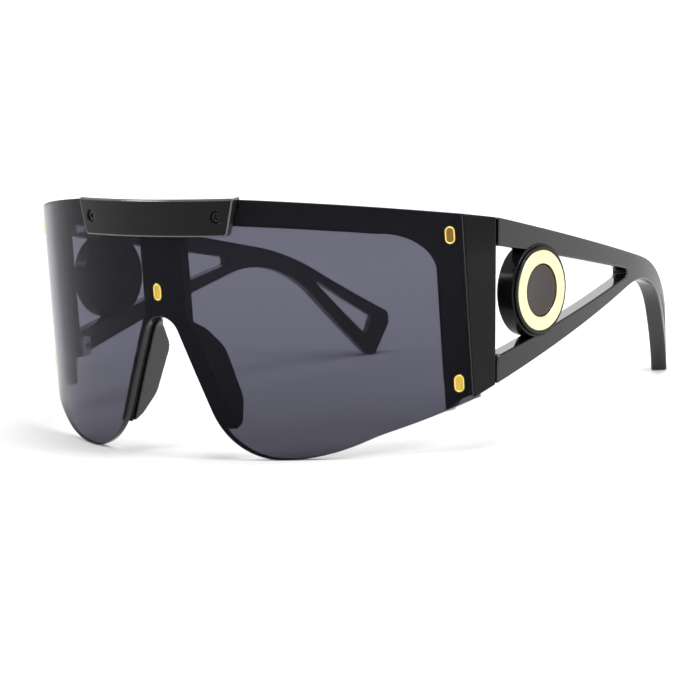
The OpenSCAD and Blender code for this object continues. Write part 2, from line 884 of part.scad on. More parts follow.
module hinge_temple(side, z) {
    color([0.6, 0.6, 0.62]) placed() on_side(side) on_axis(z) difference() {
        union() {
            sweep(knuckle_h, knuckle_r);
            toward_back() leaf();
        }
        outer_knuckles() sweep(knuckle_h + 2 * stack_gap, knuckle_r + knuckle_gap);
        sweep(stack_h + 2 * over, pin_r + pin_gap);
        toward_back() leaf_screw_places() leaf_screw_hole();
    }
}

module hinge_upper_front_left() { hinge_front(1, upper_hinge_z); }
module hinge_upper_front_right() { hinge_front(-1, upper_hinge_z); }
module hinge_upper_temple_left() { hinge_temple(1, upper_hinge_z); }
module hinge_upper_temple_right() { hinge_temple(-1, upper_hinge_z); }
module hinge_lower_front_left() { hinge_front(1, lower_hinge_z); }
module hinge_lower_front_right() { hinge_front(-1, lower_hinge_z); }
module hinge_lower_temple_left() { hinge_temple(1, lower_hinge_z); }
module hinge_lower_temple_right() { hinge_temple(-1, lower_hinge_z); }

module hinge_screws(side) {
    color([0.65, 0.65, 0.67]) placed() on_side(side)
        for (z = [upper_hinge_z, lower_hinge_z]) on_axis(z) {
            sweep(stack_h, pin_r);
            translate([0, 0, stack_h / 2]) cylinder(r = pin_head_r, h = pin_head_h);
        }
}

module hinge_screws_left() { hinge_screws(1); }
module hinge_screws_right() { hinge_screws(-1); }

module leaf_screws_front() {
    color([0.65, 0.65, 0.67]) placed() both_sides() at_front_leaf_screws() leaf_screw();
}

module leaf_screws_temple(side) {
    color([0.65, 0.65, 0.67]) placed() on_side(side) at_temple_leaf_screws() leaf_screw();
}

module leaf_screws_temple_left() { leaf_screws_temple(1); }
module leaf_screws_temple_right() { leaf_screws_temple(-1); }

lens();
front_frame();
brow_bar();
brow_screws();
lens_rivets();
nose_pad_left();
nose_pad_right();
temple_left();
temple_right();
medallion_bezel_left();
medallion_bezel_right();
medallion_ring_left();
medallion_ring_right();
medallion_cap_left();
medallion_cap_right();
hinge_upper_front_left();
hinge_upper_front_right();
hinge_upper_temple_left();
hinge_upper_temple_right();
hinge_lower_front_left();
hinge_lower_front_right();
hinge_lower_temple_left();
hinge_lower_temple_right();
hinge_screws_left();
hinge_screws_right();
leaf_screws_front();
leaf_screws_temple_left();
leaf_screws_temple_right();
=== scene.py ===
import json
import math

import bmesh
import bpy
from mathutils import Matrix, Vector
from mathutils.geometry import delaunay_2d_cdt

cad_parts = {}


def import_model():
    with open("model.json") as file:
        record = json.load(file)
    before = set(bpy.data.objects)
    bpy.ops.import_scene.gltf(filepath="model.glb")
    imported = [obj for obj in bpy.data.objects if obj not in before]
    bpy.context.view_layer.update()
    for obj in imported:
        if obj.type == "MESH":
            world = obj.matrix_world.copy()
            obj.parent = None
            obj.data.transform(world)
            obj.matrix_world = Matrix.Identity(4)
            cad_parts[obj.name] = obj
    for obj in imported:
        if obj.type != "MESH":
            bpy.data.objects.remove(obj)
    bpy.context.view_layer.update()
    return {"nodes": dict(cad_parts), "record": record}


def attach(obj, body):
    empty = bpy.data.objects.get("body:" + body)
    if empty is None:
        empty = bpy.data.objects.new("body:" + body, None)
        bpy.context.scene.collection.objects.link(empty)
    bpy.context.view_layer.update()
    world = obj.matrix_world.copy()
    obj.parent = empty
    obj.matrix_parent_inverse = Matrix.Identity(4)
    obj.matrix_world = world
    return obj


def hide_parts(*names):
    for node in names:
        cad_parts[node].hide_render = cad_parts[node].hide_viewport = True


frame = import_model()

# Sizes
# Lengths are in millimetres. y = 0 is the foremost line of the lens here, and MID_Y is where
# the shared frame has its own y = 0. s is the arc length round a curved face, from the middle
# of the front or, on a temple, from the joint.
MM = 0.001
MID_Y = 75.25

# Lens: its radius, thickness, width and height, and how its top and side edges slope backward
LENS_R, LENS_T, LENS_W, LENS_H = 90.5, 2.0, 140.6, 65.2
TOP_FALL, EDGE_RISE, END_Z = math.radians(12.4), math.radians(23.7), 12.6
LOBE_X, LOBE_R, LOBE_NOSE_R = 32.0, 42.0, 19.7
LOBE_SHARE, EDGE_BLEND = 0.28, 0.4
NOSE_TOP, NOSE_R = 35.3, 5.8
TOP_BAND, TOP_FADE = 6.0, 4.0
LENS_BEVEL, LENS_THINNER = 0.25, 0.06
END_CLEAR, NOTCH_CLEAR = 0.03, 0.05
# The gap left between faces that would otherwise coincide
TOUCH_GAP = 0.02

# Brow bar and its two screws
BROW_W, BROW_LOW_W, BROW_TOP, BROW_H, LIP_H = 50.8, 46.2, 64.9, 9.3, 2.5
BROW_OUT, BROW_TOP_IN, LIP_IN = 2.4, 0.12, 0.5
BROW_BEVEL, BROW_REAR_BEVEL, LIP_BEVEL, LIP_REAR_BEVEL = 0.4, 0.05, 0.1, 0.3
# The lip ends so far before the bar's ends, at its lower edge and at its top
LIP_LOW_END, LIP_TOP_END = 0.6, 0.05
# The height of the bar's bevelled top, and how far below it the screws are
BROW_BEVEL_H, SCREW_DOWN = 0.6, 3.9
SCREW_S, SCREW_Z = 20.5, BROW_TOP - BROW_BEVEL_H - SCREW_DOWN
HEAD_R, HEAD_HOLE_R, HEAD_FLOOR_R = 1.32, 1.45, 1.2
HEAD_IN, HEAD_T, HEAD_BEVEL = 0.45, 0.9, 0.12
HEAD_FLOOR_IN, HEAD_FLOOR_T, HEAD_FLOOR_BEVEL = 0.85, 0.4, 0.02
CROSS_W, CROSS_L, CROSS_TURN = 0.2, 0.75, 20

# Front frame: the wall behind the lens, the end pieces and the deep bars inside them
BAR_H, BAR_T, WINDOW_X, WINDOW_R, BRIDGE_X, BRIDGE_UP = 6.5, 3.0, 64.2, 10.4, 6.7, 1.0
WALL_BEVEL, END_BEVEL, DEEP_BEVEL = 0.35, 0.4, 0.35
SIDE_REAR_X, SIDE_FOOT_Z, SIDE_REAR_IN, SIDE_HOLLOW_IN = 61.0, 17.0, 2.2, 5.8
PRISM_H, PRISM_RIM, END_MID_Z = 40.0, 2.0, 35.0
WINGS_TOP, WINGS_X = 36.3, 26.0

# Joint and temples
JOINT_Y, JOINT_LEAN, END_FLARE, JOINT_GAP = 38.4, math.radians(4.1), math.radians(24.2), 0.25
KNUCKLE_CLEAR, LEAF_SINK, JOINT_BAND = 1.6, 0.15, 10
TEMPLE_T, TEMPLE_BEVEL, SPLAY, REACH = 4.3, 0.45, math.radians(3.6), 114.5
SWEEP_R, SWEEP_L, BEND_R = 300.0, 68.0, 108.0
UPPER_FALL, UPPER_TURN_Y, UPPER_TURN_R = math.radians(15.1), 86.7, 55.0
LOWER_RISE, LOWER_TURN_Y, LOWER_TURN_R = math.radians(12.9), 83.0, 27.0
UPPER_BAR_H, LOWER_BAR_H, APEX_Y, APEX_Z, APEX_R = 6.9, 6.8, 69.7, 33.6, 1.15
TIP_IN, TIP_W, TIP_R, HEEL_Z, HEEL_H, HEEL_R = 4.4, 2.4, 1.0, 10.8, 1.6, 2.4
TIP_SLOT = ((-21.1, 25.3, 0.25), (-4.6, 11.3, 0.7), (-6.4, 6.1, 0.7))

# Medallion: the temple's drum, with a bezel, ring and cap in its seat
DRUM_S, DRUM_Z, DRUM_R, DRUM_OUT = 19.3, 35.9, 11.6, 0.3
BEZEL_R, BEZEL_OUT, RING_R, RING_W, RING_OUT, CAP_IN = 10.9, 0.6, 10.0, 3.4, 0.25, 0.35
SEAT_DEPTH, BEZEL_FLOOR = 0.9, 0.5
SEAT_CLEAR, RING_CLEAR, CAP_CLEAR = 0.05, 0.06, 0.05
CAP_CROWN, CAP_FLAT, CAP_EDGE = 0.25, 0.85, 0.55
# Rounded rims: at the seat's mouth, the bezel's and ring's inner sides, the outer sides of
# drum, bezel and ring, and the drum's inner face. Discs start at CORE_R.
SEAT_RIM, BEZEL_RIM, RING_RIM, OUTER_RIM, DRUM_REAR_RIM, CORE_R = 0.15, 0.2, 0.25, 0.3, 0.5, 0.01

# Rivets
RIVET_W, RIVET_H, RIVET_OUT, RIVET_RIM, RIVET_DISH = 2.5, 4.3, 0.35, 0.42, 0.22
RIVET_S, RIVET_HIGH, RIVET_LOW, RIVET_MID = 77, 52.9, 16.7, 41.6
RIVETS = ((RIVET_S, RIVET_HIGH), (RIVET_S, RIVET_LOW), (-RIVET_S, RIVET_HIGH),
          (-RIVET_S, RIVET_LOW), (0, RIVET_MID))
# How much longer the rim and the core are than the way through the lens, and the stretch,
# rise and depth of the black ring of painted shadow round each rivet
RIM_REACH, CORE_REACH = 1.3, 1.0
SHADOW_RING_WIDER, SHADOW_RING_TALLER, SHADOW_RING_RISE, SHADOW_RING_T = 1.2, 1.12, 0.06, 0.5
RIM_BEVEL, CORE_BEVEL, SHADOW_RING_BEVEL = 0.2, 0.05, 0.03

END_X = LENS_W / 2
END_A = math.asin(END_X / LENS_R)
END_Y = LENS_R - LENS_R * math.cos(END_A)
LENS_END = END_X - END_CLEAR
INNER_R = LENS_R - LENS_T
JOINT_X = END_X + math.tan(END_FLARE) * (JOINT_Y - END_Y)
LEAN = math.atan(math.tan(END_FLARE) * math.tan(JOINT_LEAN))
FLARE = Vector((math.sin(END_FLARE), math.cos(END_FLARE)))
AXIS = Vector((JOINT_X - (TEMPLE_T - LEAF_SINK) / math.cos(SPLAY) - KNUCKLE_CLEAR, JOINT_Y))
INNER = AXIS + KNUCKLE_CLEAR * Vector((FLARE.y, -FLARE.x))
SIDES = {1: "left", -1: "right"}


def edge_z(y):
    """Height of the rising lower edge at the side."""
    return END_Z + math.tan(EDGE_RISE) * (y - END_Y)


def top_z(y):
    """Height of the falling top."""
    return LENS_H - math.tan(TOP_FALL) * y


def joint_at(z):
    """The joint line's y at a height."""
    return JOINT_Y + math.tan(JOINT_LEAN) * z


LOW_Z = edge_z(JOINT_Y) / (1 - math.tan(EDGE_RISE) * math.tan(JOINT_LEAN))
HIGH_Z = top_z(JOINT_Y) / (1 + math.tan(TOP_FALL) * math.tan(JOINT_LEAN))


# Materials
BROAD_SCALE, FINE_DETAIL, GLOSS_SWING, BUMP_DEPTH = 60.0, 4.0, 0.15, 0.02 * MM
# How high the lens's painted shade reaches, and how much of its colour is left at the bottom
SHADE_TOP, SHADE_BOTTOM_SHARE = 45, 0.60


def new_node(nodes, kind, **values):
    """Adds a shader node and sets its inputs by name."""
    made = nodes.new("ShaderNode" + kind)
    for key, value in values.items():
        made.inputs[key.replace("_", " ")].default_value = value
    return made


def material(name, colour, roughness, metallic=0.0, grain=0.03, scale=900.0, bump=0.06, **more):
    """A plastic or metal whose tone and gloss vary a little with fine and broad noise."""
    m = bpy.data.materials.new(name)
    m.use_nodes = True
    nodes, links = m.node_tree.nodes, m.node_tree.links
    shader = nodes["Principled BSDF"]
    shader.inputs["Metallic"].default_value = metallic
    for key, value in more.items():
        shader.inputs[key.replace("_", " ")].default_value = value
    where = new_node(nodes, "TexCoord")
    fine = new_node(nodes, "TexNoise", Scale=scale, Detail=FINE_DETAIL)
    broad = new_node(nodes, "TexNoise", Scale=BROAD_SCALE)
    links.new(where.outputs["Object"], fine.inputs["Vector"])
    links.new(where.outputs["Object"], broad.inputs["Vector"])
    tone = new_node(nodes, "ValToRGB")
    dark, light = tone.color_ramp.elements
    dark.color = [c * (1 - grain) for c in colour] + [1]
    light.color = [min(1, c * (1 + grain)) for c in colour] + [1]
    links.new(broad.outputs["Fac"], tone.inputs["Fac"])
    links.new(tone.outputs["Color"], shader.inputs["Base Color"])
    gloss = new_node(nodes, "MapRange", To_Min=roughness * (1 - GLOSS_SWING),
                     To_Max=roughness * (1 + GLOSS_SWING))
    links.new(fine.outputs["Fac"], gloss.inputs["Value"])
    links.new(gloss.outputs["Result"], shader.inputs["Roughness"])
    if bump:
        relief = new_node(nodes, "Bump", Strength=bump, Distance=BUMP_DEPTH)
        links.new(fine.outputs["Fac"], relief.inputs["Height"])
        links.new(relief.outputs["Normal"], shader.inputs["Normal"])
    return m


GLOSS_BLACK = material("gloss_black", (0.0045, 0.0047, 0.0047), 0.15, bump=0.0,
                       Specular_IOR_Level=0.16)
SATIN_BLACK = material("satin_black", (0.012, 0.012, 0.012), 0.36, bump=0.05,
                       Specular_IOR_Level=0.42)
BROW_BLACK = material("brow_black", (0.004, 0.004, 0.0042), 0.18, bump=0.04,
                      Specular_IOR_Level=0.14)
PAD_BLACK = material("pad_black", (0.008, 0.008, 0.009), 0.26, bump=0.06, Specular_IOR_Level=0.5)
RIM_BLACK = material("rim_black", (0.003, 0.003, 0.003), 0.10, bump=0.0, Specular_IOR_Level=0.2)
EDGE_GLOSS = material("edge_gloss", (0.004, 0.004, 0.004), 0.09, bump=0.0, Specular_IOR_Level=0.55)
GOLD = material("pale_gold", (0.86, 0.80, 0.46), 0.30, metallic=1.0, grain=0.02, scale=1500,
                bump=0.05)
RIVET_GOLD = material("rivet_gold", (0.90, 0.66, 0.16), 0.24, metallic=1.0, grain=0.04, scale=1500,
                      bump=0.05)
CAP_METAL = material("cap_metal", (0.050, 0.045, 0.041), 0.34, metallic=0.5, grain=0.05, bump=0.04,
                     Specular_IOR_Level=0.25)
RIVET_CORE = material("rivet_core", (0.55, 0.38, 0.07), 0.34, metallic=1.0, grain=0.10, scale=700,
                      bump=0.2)
# A darker copy of the rivet core's gold: painted shade for the upper side rivets
RIVET_SHADED_CORE = material("rivet_core_painted_shade", (0.20, 0.115, 0.03), 0.30, metallic=1.0, grain=0.10,
                        scale=700, bump=0.2)
STEEL = material("steel", (0.52, 0.52, 0.53), 0.28, metallic=1.0, scale=1200)
DARK_STEEL = material("dark_steel", (0.10, 0.10, 0.105), 0.32, metallic=1.0, scale=1200)
SMOKE = material("smoke_lens", (0.121, 0.119, 0.158), 0.015, bump=0.0, grain=0.01,
                 Transmission_Weight=0.94, IOR=1.10)
# The lens's side faces are opaque near-black: painted shade for the dark look that internal
# reflection gives a clear polished edge
LENS_EDGE_SHADE = material("lens_edge_painted_shade", (0.006, 0.006, 0.007), 0.10, bump=0.0, Specular_IOR_Level=0.4)
BROW_GLOSS = material("brow_top", (0.02, 0.02, 0.02), 0.06, bump=0.0, IOR=1.9)


def shade_toward_bottom(m, low, high, share):
    """Paints shade into a material's colour, deeper toward the bottom of the object."""
    nodes, links = m.node_tree.nodes, m.node_tree.links
    where = new_node(nodes, "TexCoord")
    split = new_node(nodes, "SeparateXYZ")
    links.new(where.outputs["Object"], split.inputs[0])
    fall = new_node(nodes, "MapRange", From_Min=low * MM, From_Max=high * MM, To_Min=share,
                    To_Max=1.0)
    links.new(split.outputs["Z"], fall.inputs["Value"])
    deep = new_node(nodes, "Mix")
    deep.data_type = "RGBA"
    deep.blend_type = "MULTIPLY"
    deep.inputs["Factor"].default_value = 1.0
    colour = nodes["Principled BSDF"].inputs["Base Color"]
    links.new(colour.links[0].from_socket, deep.inputs["A"])
    links.new(fall.outputs["Result"], deep.inputs["B"])
    links.new(deep.outputs["Result"], colour)


# The lens is darker toward its bottom with painted shade
shade_toward_bottom(SMOKE, 0, SHADE_TOP, SHADE_BOTTOM_SHARE)


# Outlines
REPEATED, MITRE = 1e-4, 0.4


def clamp(v):
    return max(0.0, min(1.0, v))


def even(a, b, n):
    """n + 1 numbers from a to b."""
    return [a + (b - a) * i / n for i in range(n + 1)]


def closed(loop):
    """The sides of a closed outline, as pairs of points."""
    return zip(loop, loop[1:] + loop[:1])


def arc(centre, r, a, b, step=4.0):
    """Points round a centre from angle a to angle b, in degrees."""
    n = max(1, math.ceil(abs(b - a) / step))
    turns = [math.radians(t) for t in even(a, b, n)]
    return [Vector((centre[0] + r * math.cos(t), centre[1] + r * math.sin(t))) for t in turns]


def rounded(points, radii, step):
    """A closed outline whose corners are rounded by their own radii."""
    points = [Vector(p) for p in points]
    out = []
    for i, b in enumerate(points):
        r = radii[i]
        if not r:
            out.append(b)
            continue
        u = (points[i - 1] - b).normalized()
        v = (points[(i + 1) % len(points)] - b).normalized()
        half = math.acos(max(-1, min(1, u.dot(v)))) / 2
        centre = b + (u + v).normalized() * r / math.sin(half)
        p = b + u * r / math.tan(half) - centre
        q = b + v * r / math.tan(half) - centre
        start = math.degrees(math.atan2(p.y, p.x))
        turn = math.degrees(math.atan2(p.x * q.y - p.y * q.x, p.dot(q)))
        out += arc(centre, r, start, start + turn, step)
    return out


def area(loop):
    return sum(a.x * b.y - b.x * a.y for a, b in closed(loop)) / 2


def spread(loop, longest):
    """Adds points, so that no side is longer than asked, and drops repeated ones."""
    out = []
    for a, b in closed(loop):
        d = (b - a).length
        if d >= REPEATED:
            n = max(1, math.ceil(d / longest))
            out += [a + (b - a) * i / n for i in range(n)]
    return out


def inward(loop):
    """Where each point of a loop goes for a unit inset, with the material on the loop's left."""
    out = []
    for i, b in enumerate(loop):
        u = (b - loop[i - 1]).normalized()
        v = (loop[(i + 1) % len(loop)] - b).normalized()
        nu, nv = Vector((-u.y, u.x)), Vector((-v.y, v.x))
        m = nu + nv
        out.append(m / max(m.dot(nu), MITRE))
    return out


def inside(p, loop):
    odd = False
    for a, b in closed(loop):
        if (a.y > p.y) != (b.y > p.y) and p.x < a.x + (b.x - a.x) * (p.y - a.y) / (b.y - a.y):
            odd = not odd
    return odd


def in_plate(p, loops):
    return inside(p, loops[0]) and not any(inside(p, loop) for loop in loops[1:])


# Mesh building
BEVEL_STEPS, RIM_STEPS, DISH_STEPS, LATHE_SIDES = 4, 6, 8, 96
# The longest sides of large and small outlines, and the spacing of points on the faces
LARGE_STEP, SMALL_STEP = 1.5, 1.2
PANEL_GRID, WALL_GRID, PRISM_GRID = (2.0, 3.0), (2.0, 2.5), (3, 3)
BROW_GRID, LIP_GRID, HEAD_GRID, RIVET_GRID = (1.6, 1.6), (1.6, 1.2), (0.5, 0.5), (0.9, 0.9)
# The remeshed pieces: the size of their grid, and how often they are eased
WINGS_VOXEL, WINGS_EASE, PAD_VOXEL, PAD_EASE = 0.3, 5, 0.16, 4
WELD_METRES, EASE_SHARE = 1e-6, 0.5
PROBE, NEAR_SHARE, SAME_POINT = 0.01, 0.45, 1e-7
# The output type of delaunay_2d_cdt that gives the triangles inside the outlines
CDT_INSIDE = 2


class Shape:
    """Vertices with their own normals, in millimetres, and faces with a material slot each."""

    def __init__(self):
        self.points, self.normals, self.faces, self.slots = [], [], [], []

    def add(self, points, normals, faces, slot=0):
        base = len(self.points)
        self.points += points
        self.normals += normals
        self.faces += [[base + i for i in f] for f in faces]
        self.slots += [slot] * len(faces)

    def moved(self, matrix):
        turn = matrix.to_3x3()
        self.points = [matrix @ p for p in self.points]
        self.normals = [(turn @ n).normalized() for n in self.normals]
        if turn.determinant() < 0:
            self.faces = [f[::-1] for f in self.faces]
        return self

    def sided(self, side):
        """The shape as built for the left side, or its mirror image for the right."""
        return self if side > 0 else self.moved(Matrix.Scale(-1, 4, (1, 0, 0)))

    def join(self, other):
        for slot in sorted(set(other.slots)):
            faces = [f for f, k in zip(other.faces, other.slots) if k == slot]
            self.add(other.points, other.normals, faces, slot)

    def piece(self, name, materials):
        mesh = bpy.data.meshes.new(name)
        shift = Vector((0, -MID_Y, 0))
        mesh.from_pydata([(p + shift) * MM for p in self.points], [], self.faces)
        for m in materials:
            mesh.materials.append(m)
        mesh.polygons.foreach_set("material_index", self.slots)
        mesh.polygons.foreach_set("use_smooth", [True] * len(self.faces))
        mesh.normals_split_custom_set_from_vertices([n.normalized() for n in self.normals])
        mesh.update()
        return placed(name, mesh)


def placed(name, data):
    """A new object in the scene."""
    o = bpy.data.objects.new(name, data)
    bpy.context.scene.collection.objects.link(o)
    return o


def axes_at(place, s, z, depth):
    """A point of a surface, the directions of s and z there, and the way out of it."""
    ds = (place(s + PROBE, z, depth) - place(s - PROBE, z, depth)).normalized()
    dz = (place(s, z + PROBE, depth) - place(s, z - PROBE, depth)).normalized()
    return place(s, z, depth), ds, dz, ds.cross(dz).normalized()


def grid_points(verts, grid):
    """Points of a grid over an outline's box, without those close to the outline's own points."""
    low = [min(v[k] for v in verts) for k in (0, 1)]
    high = [max(v[k] for v in verts) for k in (0, 1)]
    nx = math.ceil((high[0] - low[0]) / grid[0])
    ny = math.ceil((high[1] - low[1]) / grid[1])
    near = min(grid) * NEAR_SHARE
    taken = {(round(v.x / near), round(v.y / near)) for v in verts}
    out = []
    for x in even(low[0], high[0], nx)[1:-1]:
        for y in even(low[1], high[1], ny)[1:-1]:
            g = Vector((x, y))
            cx, cy = round(g.x / near), round(g.y / near)
            if not any((cx + a, cy + b) in taken for a in (-1, 0, 1) for b in (-1, 0, 1)):
                out.append(g)
    return out


def plate_side(shape, loop, place, rings, slot):
    """The side of a plate round one loop, from its front edge to its rear edge."""
    ins, n = inward(loop), len(loop)
    points, normals, faces = [], [], []
    for inset, depth, turn in rings:
        for b, i in zip(loop, ins):
            q = b + i * inset
            p, ds, dz, out = axes_at(place, q.x, q.y, depth)
            side = -(ds * i.x + dz * i.y)
            side = (side - out * side.dot(out)).normalized()
            points.append(p)
            normals.append(out * math.cos(turn) + side * math.sin(turn))
    for k in range(len(rings) - 1):
        for j in range(n):
            a, b = k * n + j, k * n + (j + 1) % n
            faces.append([b, a, a + n, b + n])
    shape.add(points, normals, faces, slot)


def plate_face(shape, loops, place, inset, depth, grid, slot, front):
    """The front or rear face of a plate, without its rounded edges."""
    verts, edges = [], []
    for loop in loops:
        base = len(verts)
        verts += [b + i * inset for b, i in zip(loop, inward(loop))]
        edges += [(base + j, base + (j + 1) % len(loop)) for j in range(len(loop))]
    verts += grid_points(verts, grid)
    flat, _, tris = delaunay_2d_cdt(verts, edges, [], CDT_INSIDE, SAME_POINT)[:3]
    points, normals = [], []
    for v in flat:
        p, _, _, out = axes_at(place, v.x, v.y, depth)
        points.append(p)
        normals.append(out if front else -out)
    # The triangulation fills the holes too, so only the triangles on the plate are kept
    tris = [f for f in tris if in_plate(sum((flat[i] for i in f), Vector((0, 0))) / 3, loops)]
    shape.add(points, normals, [list(f) if front else list(f)[::-1] for f in tris], slot)


def plate(shape, loops, place, thick, bevel, grid, slot=0, rear_bevel=None, levels=(),
          edge_slot=None, outer_only=False):
    """A plate with rounded edges on a surface that place(s, z, depth) gives.

    loops are closed outlines in s and z, the outer one first. grid is the spacing of the points
    on the faces, and levels are depths of more rings on the side. edge_slot is the side's own
    material slot, on the outer side alone with outer_only."""
    rear_bevel = bevel if rear_bevel is None else rear_bevel
    loops = [l if (area(l) > 0) == (i == 0) else l[::-1] for i, l in enumerate(loops)]
    quarter = even(0, math.pi / 2, BEVEL_STEPS)
    rings = [(bevel * (1 - math.sin(t)), bevel * (1 - math.cos(t)), t) for t in quarter]
    rings += [(0, level, math.pi / 2) for level in levels]
    rings += [(rear_bevel * (1 - math.cos(t)), thick - rear_bevel * (1 - math.sin(t)),
               math.pi / 2 + t) for t in quarter]
    for k, loop in enumerate(loops):
        plain = edge_slot is None or (outer_only and k > 0)
        plate_side(shape, loop, place, rings, slot if plain else edge_slot)
    plate_face(shape, loops, place, bevel, 0.0, grid, slot, True)
    plate_face(shape, loops, place, rear_bevel, thick, grid, slot, False)


def lathe(shape, profile, slot=0):
    """A solid of revolution about the z axis.

    The profile is a list of runs of (radius, height) points. Each run is shaded smooth, and runs
    meet in sharp edges."""
    for run in profile:
        n = len(run)
        points, normals, faces = [], [], []
        for i, (r, h) in enumerate(run):
            a, b = run[max(i - 1, 0)], run[min(i + 1, n - 1)]
            t = Vector((b[0] - a[0], b[1] - a[1])).normalized()
            for k in range(LATHE_SIDES):
                turn = 2 * math.pi * k / LATHE_SIDES
                points.append(Vector((r * math.cos(turn), r * math.sin(turn), h)))
                normals.append(Vector((t.y * math.cos(turn), t.y * math.sin(turn), -t.x)))
        for i in range(n - 1):
            for k in range(LATHE_SIDES):
                a, b = i * LATHE_SIDES + k, i * LATHE_SIDES + (k + 1) % LATHE_SIDES
                faces.append([a, b, b + LATHE_SIDES, a + LATHE_SIDES])
        shape.add(points, normals, faces, slot)


def rim_arc(r, h, bevel, start, end):
    """Points of a rounded rim in a lathe's profile, round a centre at radius r and height h."""
    turns = [math.radians(t) for t in even(start, end, RIM_STEPS)]
    return [(r + bevel * math.cos(t), h + bevel * math.sin(t)) for t in turns]


def inner_rim(r, top, bevel):
    """The rounded corner from a wall at radius r, facing the axis, to a top face."""
    return rim_arc(r + bevel, top - bevel, bevel, 180, 90)


def outer_rim(r, top, bevel):
    """The rounded corner from a top face to an outer wall at radius r."""
    return rim_arc(r - bevel, top - bevel, bevel, 90, 0)


def cut_out(node, name, look, voxel, smooth, keep=()):
    """A rounded copy of part of a solid: kept below each plane, then remeshed and eased."""
    bm = bmesh.new()
    bm.from_mesh(frame["nodes"][node].data)
    bmesh.ops.remove_doubles(bm, verts=bm.verts, dist=WELD_METRES)
    for spot, normal in keep:
        cut = bmesh.ops.bisect_plane(bm, geom=bm.verts[:] + bm.edges[:] + bm.faces[:],
                                     plane_co=spot, plane_no=normal, clear_outer=True)
        edges = [g for g in cut["geom_cut"] if isinstance(g, bmesh.types.BMEdge)]
        if edges:
            bmesh.ops.holes_fill(bm, edges=edges, sides=0)
    mesh = bpy.data.meshes.new(name)
    bm.to_mesh(mesh)
    bm.free()
    mesh.materials.append(look)
    o = placed(name, mesh)
    grid = o.modifiers.new("grid", "REMESH")
    grid.mode = "VOXEL"
    grid.voxel_size = voxel * MM
    grid.use_smooth_shade = True
    ease = o.modifiers.new("ease", "SMOOTH")
    ease.factor = EASE_SHARE
    ease.iterations = smooth
    return o


# The lens
def on_lens(s, z, depth):
    """A point behind the lens's front face, whose top band follows the falling top."""
    x = LENS_R * math.sin(s / LENS_R)
    r = LENS_R - depth
    y = LENS_R - math.sqrt(max(r * r - x * x, 1.0))
    y0 = LENS_R - LENS_R * math.cos(s / LENS_R)
    near_top = clamp((z - (top_z(y0) - TOP_BAND)) / TOP_FADE)
    return Vector((x, y, z - math.tan(TOP_FALL) * (y - y0) * near_top))


def arc_s(x):
    """Arc length round the lens's front face at a distance x from the middle."""
    return LENS_R * math.asin(max(-1, min(1, x / LENS_R)))


def depth_at(r, x):
    """The y of a face of radius r round the lens's axis."""
    return LENS_R - math.sqrt(r * r - x * x)


def lower_edge(x):
    """Height of the lens's lower edge beside a lobe, where it blends into the side's rise."""
    a = LOBE_R - math.sqrt(max(0, LOBE_R ** 2 - (x - LOBE_X) ** 2))
    b = edge_z(depth_at(LENS_R, x))
    return (a + b - math.sqrt((a - b) ** 2 + EDGE_BLEND ** 2)) / 2


def mirrored(half):
    """A closed outline from its right half, which starts on the middle line."""
    return half + [Vector((-p.x, p.y)) for p in half[:0:-1]]


def lens_half_edge():
    """Points (x, z) of the lower edge, from the middle of the nose cut-out to the lens's end."""
    nose, lobe = Vector((0, NOSE_TOP - NOSE_R)), Vector((LOBE_X, LOBE_NOSE_R))
    gap = lobe - nose
    between = math.asin((NOSE_R + LOBE_NOSE_R) / gap.length)
    flank = 90 + math.degrees(math.atan2(gap.y, gap.x) - between)
    start = LOBE_X + (END_X - LOBE_X) * LOBE_SHARE
    turn = math.degrees(math.asin((start - LOBE_X) / LOBE_R))
    points = arc(nose, NOSE_R, 90, flank, 5)
    points += arc(lobe, LOBE_NOSE_R, 180 + flank, 270, 3)
    points += arc((LOBE_X, LOBE_R), LOBE_R, 270, 270 + turn, 2)[1:]
    return points + [Vector((x, lower_edge(x))) for x in even(start, LENS_END, 40)[1:]]


def lens_piece():
    notch_x, notch_z = BROW_W / 2 + NOTCH_CLEAR, BROW_TOP - LIP_H - NOTCH_CLEAR
    top = [Vector((x, 0)) for x in even(LENS_END, notch_x, 40)]
    half = [Vector((arc_s(p.x), p.y)) for p in lens_half_edge()]
    half += [Vector((arc_s(p.x), top_z(depth_at(LENS_R, p.x)))) for p in top]
    half += [Vector((arc_s(notch_x), notch_z))]
    s = Shape()
    # The side faces take that painted-shade black
    plate(s, [spread(mirrored(half), LARGE_STEP)], on_lens, LENS_T - LENS_THINNER, LENS_BEVEL,
          PANEL_GRID, edge_slot=1)
    return s.piece("lens_shell", [SMOKE, LENS_EDGE_SHADE])


# The front frame
WALL_END_BAND, WALL_JOINT_IN, WALL_FREE = 2, 0.3, 20
WALL_FOOT_Z, WALL_FOOT_H, WALL_FOOT_LIFT = 26, 8, 0.1


def wall_loop():
    """The wall behind the lens, in arc length and height: its top bar, bridge and side strips."""
    bridge_foot = NOSE_TOP - NOSE_R + BRIDGE_UP
    corner_x = WINDOW_X - WINDOW_R
    half = [q for q in arc((0, NOSE_TOP - NOSE_R), NOSE_R, 90, 10, 5) if q.y > bridge_foot]
    half += [Vector((BRIDGE_X, bridge_foot))]
    half += [Vector((x, top_z(depth_at(INNER_R, x)) - BAR_H)) for x in even(BRIDGE_X, corner_x, 24)]
    fall = math.tan(TOP_FALL) * corner_x / math.sqrt(INNER_R ** 2 - corner_x ** 2)
    half += arc((corner_x, half[-1].y - WINDOW_R), WINDOW_R, 90 - math.degrees(math.atan(fall)), 0)
    half += [Vector((x, lower_edge(x))) for x in even(WINDOW_X, LENS_END, 8)]
    half += [Vector((x, top_z(depth_at(LENS_R, x)))) for x in even(LENS_END, 0, 60)[:-1]]
    return mirrored([Vector((arc_s(q.x), q.y)) for q in half])


